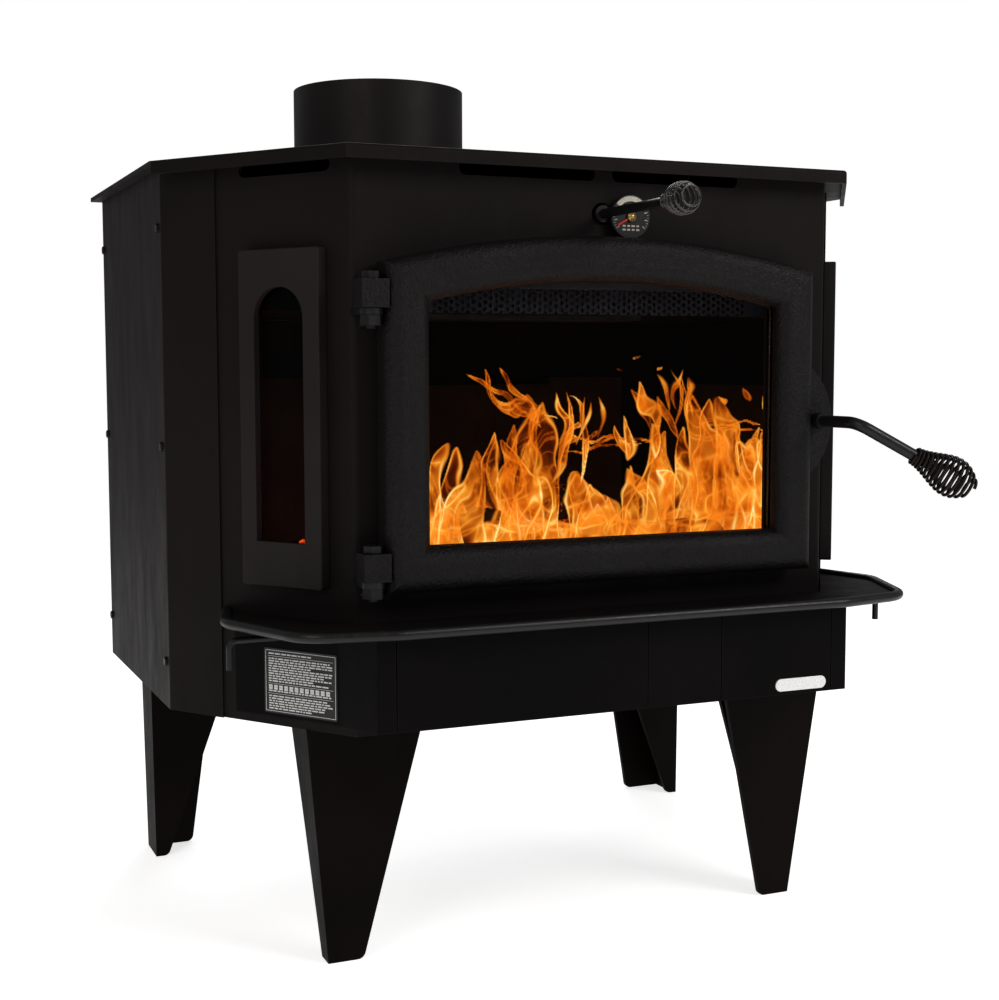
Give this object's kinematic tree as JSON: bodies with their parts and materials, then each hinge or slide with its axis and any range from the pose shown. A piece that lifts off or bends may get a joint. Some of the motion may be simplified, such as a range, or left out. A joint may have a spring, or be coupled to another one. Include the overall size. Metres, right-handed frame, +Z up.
{
  "type": "wood burning stove",
  "caption": "Free-standing steel wood burning stove: bay-shaped body with arched side windows, arched cast door, ash shelf, spring handles, air box, tapered legs and a round top flue.",
  "frame": {"origin": "on the floor, under the middle of the stove's body", "axes": "+Z up, front (door side) facing -Y, +X to the right seen from the front"},
  "size_m": [0.882, 0.7912, 0.984],
  "materials": {
    "stove_paint": "matt high-temperature paint",
    "flue_paint": "matt high-temperature paint",
    "cast_door": "satin paint over sand-cast grain",
    "firebox_steel": "heat-darkened plate",
    "satin_rod": "satin paint",
    "black_hardware": "blackened steel",
    "spring_wire": "dark oxidised spring wire",
    "nickel": "bright nickel wire",
    "glass": "clear glass ceramic",
    "rope": "knitted glass fibre rope",
    "firebrick": "pressed firebrick, smoke-browned",
    "catalyst_ceramic": "honeycomb ceramic",
    "dial": "enamelled dial",
    "needle_red": "red paint",
    "label": "printed foil",
    "badge": "bare satin plate",
    "blower_steel": "galvanised and painted sheet"
  },
  "bodies": {
    "root": {"base_plate": "stove_paint", "front_fascia": "stove_paint", "left_jacket": "stove_paint", "right_jacket": "stove_paint", "back_jacket": "stove_paint", "top_plate": "stove_paint", "left_window_frame": "stove_paint", "right_window_frame": "stove_paint", "ash_shelf": "stove_paint", "left_box_side": "stove_paint", "right_box_side": "stove_paint", "box_front_panels": "stove_paint", "box_floor": "stove_paint", "front_left_leg": "stove_paint", "front_right_leg": "stove_paint", "rear_left_leg": "stove_paint", "rear_right_leg": "stove_paint", "flue_collar": "flue_paint", "flue_pipe": "flue_paint", "firebox_floor": "firebox_steel", "firebox_side_walls": "firebox_steel", "firebox_back_wall": "firebox_steel", "firebox_roof": "firebox_steel", "baffle": "firebox_steel", "flame_guard_screen": "firebox_steel", "latch_catch": "firebox_steel", "shelf_rim_rod": "satin_rod", "hinge_brackets": "satin_rod", "jacket_screws": "black_hardware", "hinge_pins": "black_hardware", "leg_bolts": "black_hardware", "bypass_bush": "black_hardware", "left_window_glass": "glass", "right_window_glass": "glass", "window_gaskets": "rope", "floor_bricks": "firebrick", "side_bricks": "firebrick", "rear_bricks": "firebrick", "catalyst": "catalyst_ceramic", "thermometer_case": "dial", "rating_label": "label", "badge_plate": "badge", "blower_housing": "blower_steel", "blower_motor": "blower_steel"},
    "door": {"door_frame": "cast_door", "door_rope_seal": "rope", "door_glass": "glass", "glass_gasket": "rope", "glass_retainers": "black_hardware", "retainer_screws": "black_hardware"},
    "handle": {"handle_rod": "satin_rod", "handle_spring": "spring_wire", "latch_cam": "firebox_steel"},
    "bypass": {"bypass_rod": "satin_rod", "bypass_plate": "firebox_steel", "bypass_spring": "nickel"},
    "left_air_control": {"left_air_rod": "satin_rod"},
    "right_air_control": {"right_air_rod": "satin_rod"},
    "thermometer_pointer": {"thermometer_needle": "needle_red"},
    "blower_rotor": {"blower_wheel": "blower_steel"}
  },
  "joints": [
    {"name": "door_hinge", "type": "hinge", "parent": "root", "child": "door", "pos_m": [-0.27, -0.323, 0.58], "axis": [0, 0, -1], "range_deg": [0, 110]},
    {"name": "handle_turn", "type": "hinge", "parent": "door", "child": "handle", "pos_m": [0.252, -0.335, 0.578], "axis": [0, -1, 0], "range_deg": [-25, 75]},
    {"name": "bypass_slide", "type": "slide", "parent": "root", "child": "bypass", "axis": [0, 1, 0], "range_m": [0, 0.09]},
    {"name": "left_air_slide", "type": "slide", "parent": "root", "child": "left_air_control", "axis": [-1, 0, 0], "range_m": [0, 0.04]},
    {"name": "right_air_slide", "type": "slide", "parent": "root", "child": "right_air_control", "axis": [1, 0, 0], "range_m": [0, 0.04]},
    {"name": "pointer_turn", "type": "hinge", "parent": "root", "child": "thermometer_pointer", "pos_m": [0.027, -0.306, 0.797], "axis": [0, 1, 0], "range_deg": [0, 240]},
    {"name": "blower_spin", "type": "hinge", "parent": "root", "child": "blower_rotor", "pos_m": [0, 0.15, 0.306], "axis": [1, 0, 0], "continuous": true}
  ]
}
